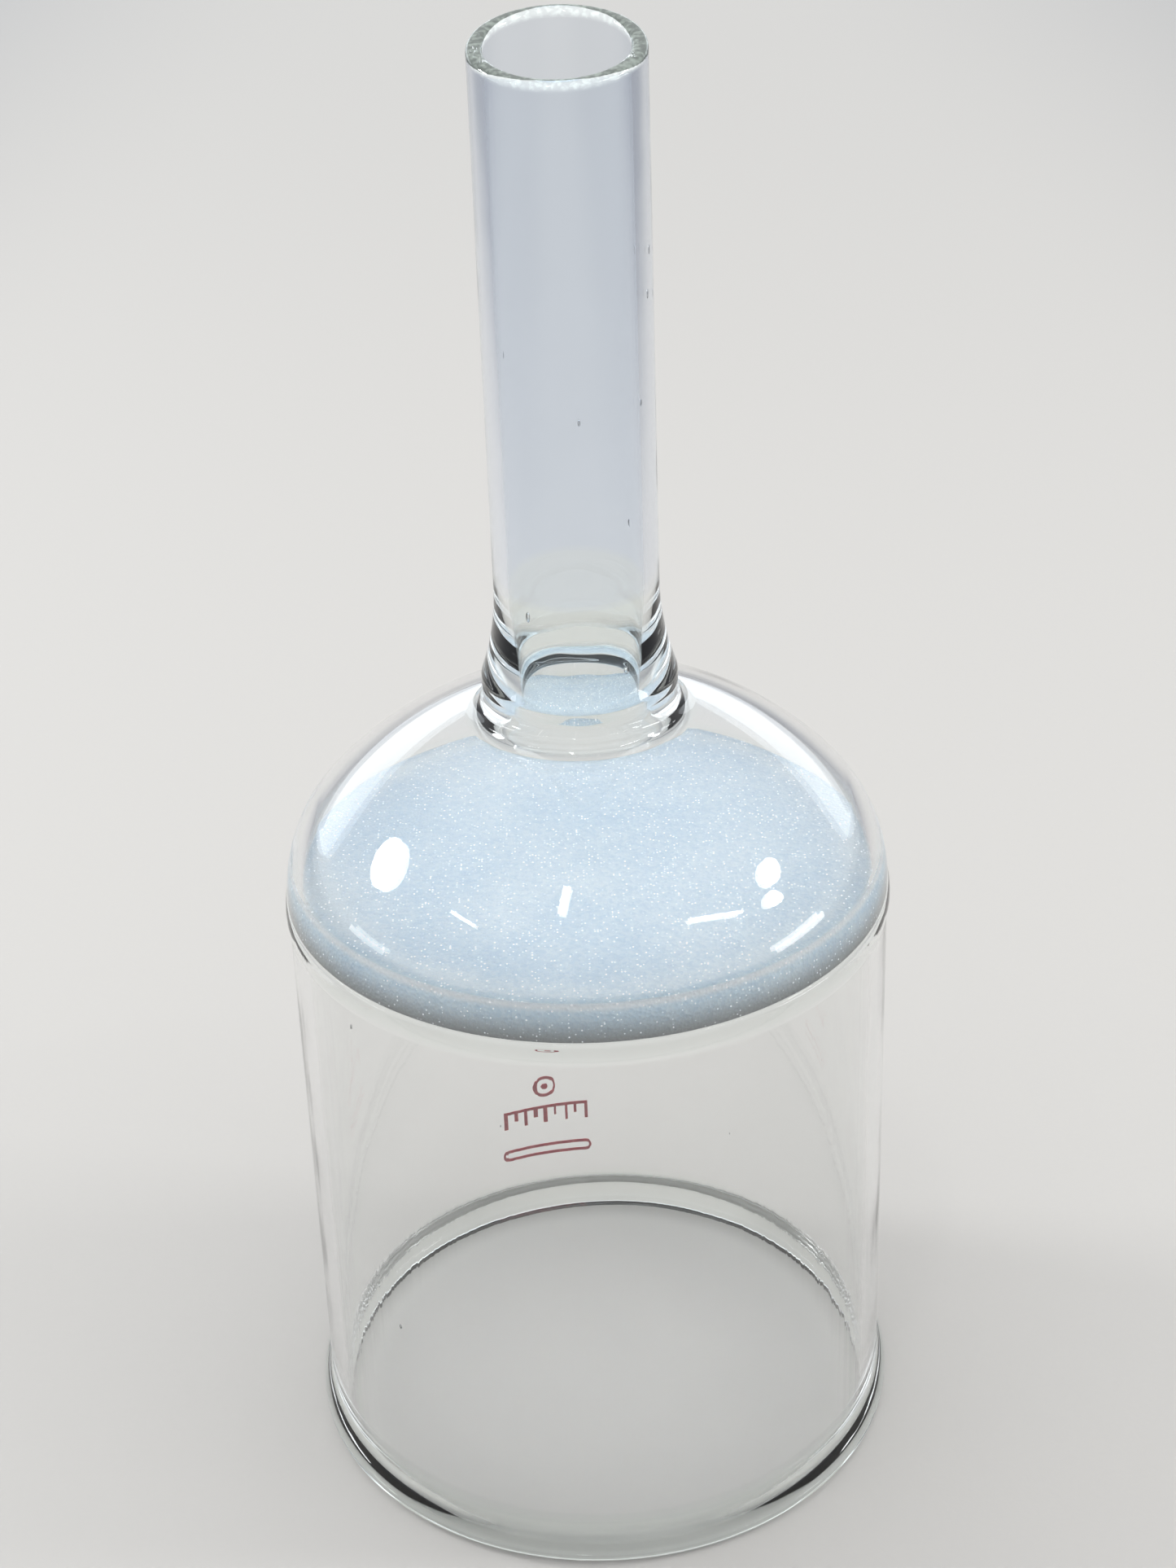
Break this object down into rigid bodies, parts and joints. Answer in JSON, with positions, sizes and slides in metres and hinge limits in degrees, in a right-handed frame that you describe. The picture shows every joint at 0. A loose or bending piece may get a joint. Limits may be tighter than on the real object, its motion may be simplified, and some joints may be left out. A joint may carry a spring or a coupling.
{
  "type": "fritted glass filter funnel",
  "caption": "Round glass bowl with a sealed porous glass disc, a domed shoulder and a straight stem with an oblique drip end.",
  "frame": {"origin": "centre of the resting plane of the bowl's rim", "axes": "+Z along the axis of the glass, from the rim towards the end of the stem; the oblique end of the stem is lowest on the -Y side"},
  "size_m": [0.1178, 0.1178, 0.2817],
  "materials": {
    "clear_glass": "clear, fire-polished",
    "sintered_glass": "white porous, finely granular",
    "red_enamel": "thin fired-on enamel"
  },
  "bodies": {
    "root": {"bowl": "clear_glass", "bowl_rim": "clear_glass", "disc_seal": "clear_glass", "shoulder": "clear_glass", "stem_collar": "clear_glass", "stem": "clear_glass", "fritted_disc": "sintered_glass", "capacity_mark": "red_enamel", "grade_mark": "red_enamel", "name_bar": "red_enamel"}
  },
  "joints": []
}
